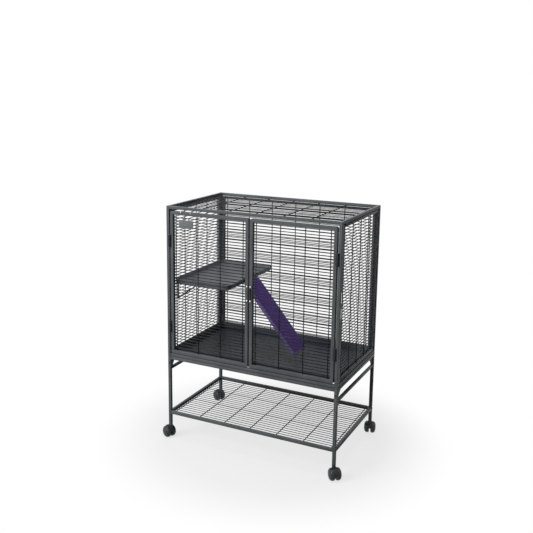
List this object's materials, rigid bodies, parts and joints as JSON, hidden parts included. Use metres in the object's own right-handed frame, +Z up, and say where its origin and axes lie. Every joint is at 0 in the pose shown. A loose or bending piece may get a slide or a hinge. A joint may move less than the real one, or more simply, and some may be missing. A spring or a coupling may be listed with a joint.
{
  "type": "small animal cage",
  "caption": "Wire cage for small pets on a wheeled stand, with double front doors, a turn latch, a pan floor, a half shelf with a padded ramp and a mesh storage shelf below.",
  "frame": {"origin": "on the floor under the middle of the cage", "axes": "+Z up, doors face -Y, +X to the right of someone who faces the doors"},
  "size_m": [0.8257, 0.5237, 1.016],
  "materials": {
    "powder_coat": "satin charcoal powder coat",
    "wire_coat": "satin charcoal powder coat on wire",
    "zinc": "bright zinc plate",
    "latch_steel": "satin black powder coat",
    "pan_plastic": "fine moulded grain",
    "caster_plastic": "moulded nylon",
    "wheel_plastic": "moulded nylon, scuffed tread",
    "tag": "plain grey plate",
    "ramp_cloth": "brushed fleece with bound edges",
    "ramp_plastic": "moulded"
  },
  "bodies": {
    "frame": {"stand_left_frame": "powder_coat", "stand_right_frame": "powder_coat", "stand_front_rail": "powder_coat", "stand_back_rail": "powder_coat", "lower_shelf_frame": "powder_coat", "lower_shelf_mesh": "wire_coat", "front_frame": "powder_coat", "back_frame": "powder_coat", "top_side_rails": "powder_coat", "base_side_rails": "powder_coat", "top_mesh": "wire_coat", "floor_grid": "wire_coat", "left_panel_frame": "powder_coat", "left_panel_mesh": "wire_coat", "right_panel_frame": "powder_coat", "right_panel_mesh": "wire_coat", "back_panel_frame": "powder_coat", "back_panel_mesh": "wire_coat", "panel_clips": "caster_plastic", "panel_springs": "zinc", "frame_bolts": "zinc", "post_hinges": "latch_steel", "hinge_pins": "zinc", "floor_pan": "pan_plastic", "half_shelf": "pan_plastic", "shelf_brackets": "powder_coat", "caster_sockets": "caster_plastic"},
    "left_door": {"left_door_frame": "powder_coat", "left_door_mesh": "wire_coat", "left_door_hinges": "latch_steel", "keeper_plate": "powder_coat", "keeper_screws": "zinc", "name_plate": "tag", "plate_hangers": "zinc"},
    "right_door": {"right_door_frame": "powder_coat", "right_door_mesh": "wire_coat", "right_door_hinges": "latch_steel", "latch_plate": "powder_coat", "latch_screws": "zinc", "latch_pivot": "latch_steel"},
    "latch": {"latch_lever": "latch_steel"},
    "ramp": {"ramp_board": "ramp_plastic", "ramp_hooks": "ramp_plastic", "ramp_cover": "ramp_cloth"},
    "caster_front_left": {"caster_front_left_body": "caster_plastic", "caster_front_left_axle": "zinc"},
    "caster_front_left_wheel_a": {"caster_front_left_wheel_a": "wheel_plastic"},
    "caster_front_left_wheel_b": {"caster_front_left_wheel_b": "wheel_plastic"},
    "caster_front_right": {"caster_front_right_body": "caster_plastic", "caster_front_right_axle": "zinc"},
    "caster_front_right_wheel_a": {"caster_front_right_wheel_a": "wheel_plastic"},
    "caster_front_right_wheel_b": {"caster_front_right_wheel_b": "wheel_plastic"},
    "caster_back_left": {"caster_back_left_body": "caster_plastic", "caster_back_left_axle": "zinc"},
    "caster_back_left_wheel_a": {"caster_back_left_wheel_a": "wheel_plastic"},
    "caster_back_left_wheel_b": {"caster_back_left_wheel_b": "wheel_plastic"},
    "caster_back_right": {"caster_back_right_body": "caster_plastic", "caster_back_right_axle": "zinc"},
    "caster_back_right_wheel_a": {"caster_back_right_wheel_a": "wheel_plastic"},
    "caster_back_right_wheel_b": {"caster_back_right_wheel_b": "wheel_plastic"}
  },
  "joints": [
    {"name": "left_door_hinge", "type": "hinge", "parent": "frame", "child": "left_door", "pos_m": [-0.3655, -0.2331, 0.69], "axis": [0, 0, -1], "range_deg": [0, 170]},
    {"name": "right_door_hinge", "type": "hinge", "parent": "frame", "child": "right_door", "pos_m": [0.3655, -0.2331, 0.69], "axis": [0, 0, 1], "range_deg": [0, 170]},
    {"name": "latch_turn", "type": "hinge", "parent": "right_door", "child": "latch", "pos_m": [0.007, -0.232, 0.695], "axis": [0, -1, 0], "range_deg": [0, 90]},
    {"name": "ramp_lift", "type": "hinge", "parent": "frame", "child": "ramp", "pos_m": [-0.10325, -0.024, 0.7055], "axis": [0, -1, 0], "range_deg": [0, 50]},
    {"name": "caster_front_left_swivel", "type": "hinge", "parent": "frame", "child": "caster_front_left", "pos_m": [-0.3745, -0.222, 0.08], "axis": [0, 0, 1], "continuous": true},
    {"name": "caster_front_left_roll_a", "type": "hinge", "parent": "caster_front_left", "child": "caster_front_left_wheel_a", "pos_m": [-0.38628, -0.21651, 0.025], "axis": [-0.4226, -0.9063, 0], "continuous": true},
    {"name": "caster_front_left_roll_b", "type": "hinge", "parent": "caster_front_left", "child": "caster_front_left_wheel_b", "pos_m": [-0.38628, -0.21651, 0.025], "axis": [-0.4226, -0.9063, 0], "continuous": true},
    {"name": "caster_front_right_swivel", "type": "hinge", "parent": "frame", "child": "caster_front_right", "pos_m": [0.3745, -0.222, 0.08], "axis": [0, 0, 1], "continuous": true},
    {"name": "caster_front_right_roll_a", "type": "hinge", "parent": "caster_front_right", "child": "caster_front_right_wheel_a", "pos_m": [0.38268, -0.2321, 0.025], "axis": [0.7771, 0.6293, 0], "continuous": true},
    {"name": "caster_front_right_roll_b", "type": "hinge", "parent": "caster_front_right", "child": "caster_front_right_wheel_b", "pos_m": [0.38268, -0.2321, 0.025], "axis": [0.7771, 0.6293, 0], "continuous": true},
    {"name": "caster_back_left_swivel", "type": "hinge", "parent": "frame", "child": "caster_back_left", "pos_m": [-0.3745, 0.222, 0.08], "axis": [0, 0, 1], "continuous": true},
    {"name": "caster_back_left_roll_a", "type": "hinge", "parent": "caster_back_left", "child": "caster_back_left_wheel_a", "pos_m": [-0.38628, 0.22749, 0.025], "axis": [-0.4226, -0.9063, 0], "continuous": true},
    {"name": "caster_back_left_roll_b", "type": "hinge", "parent": "caster_back_left", "child": "caster_back_left_wheel_b", "pos_m": [-0.38628, 0.22749, 0.025], "axis": [-0.4226, -0.9063, 0], "continuous": true},
    {"name": "caster_back_right_swivel", "type": "hinge", "parent": "frame", "child": "caster_back_right", "pos_m": [0.3745, 0.222, 0.08], "axis": [0, 0, 1], "continuous": true},
    {"name": "caster_back_right_roll_a", "type": "hinge", "parent": "caster_back_right", "child": "caster_back_right_wheel_a", "pos_m": [0.37135, 0.23461, 0.025], "axis": [-0.9703, -0.2419, 0], "continuous": true},
    {"name": "caster_back_right_roll_b", "type": "hinge", "parent": "caster_back_right", "child": "caster_back_right_wheel_b", "pos_m": [0.37135, 0.23461, 0.025], "axis": [-0.9703, -0.2419, 0], "continuous": true}
  ]
}
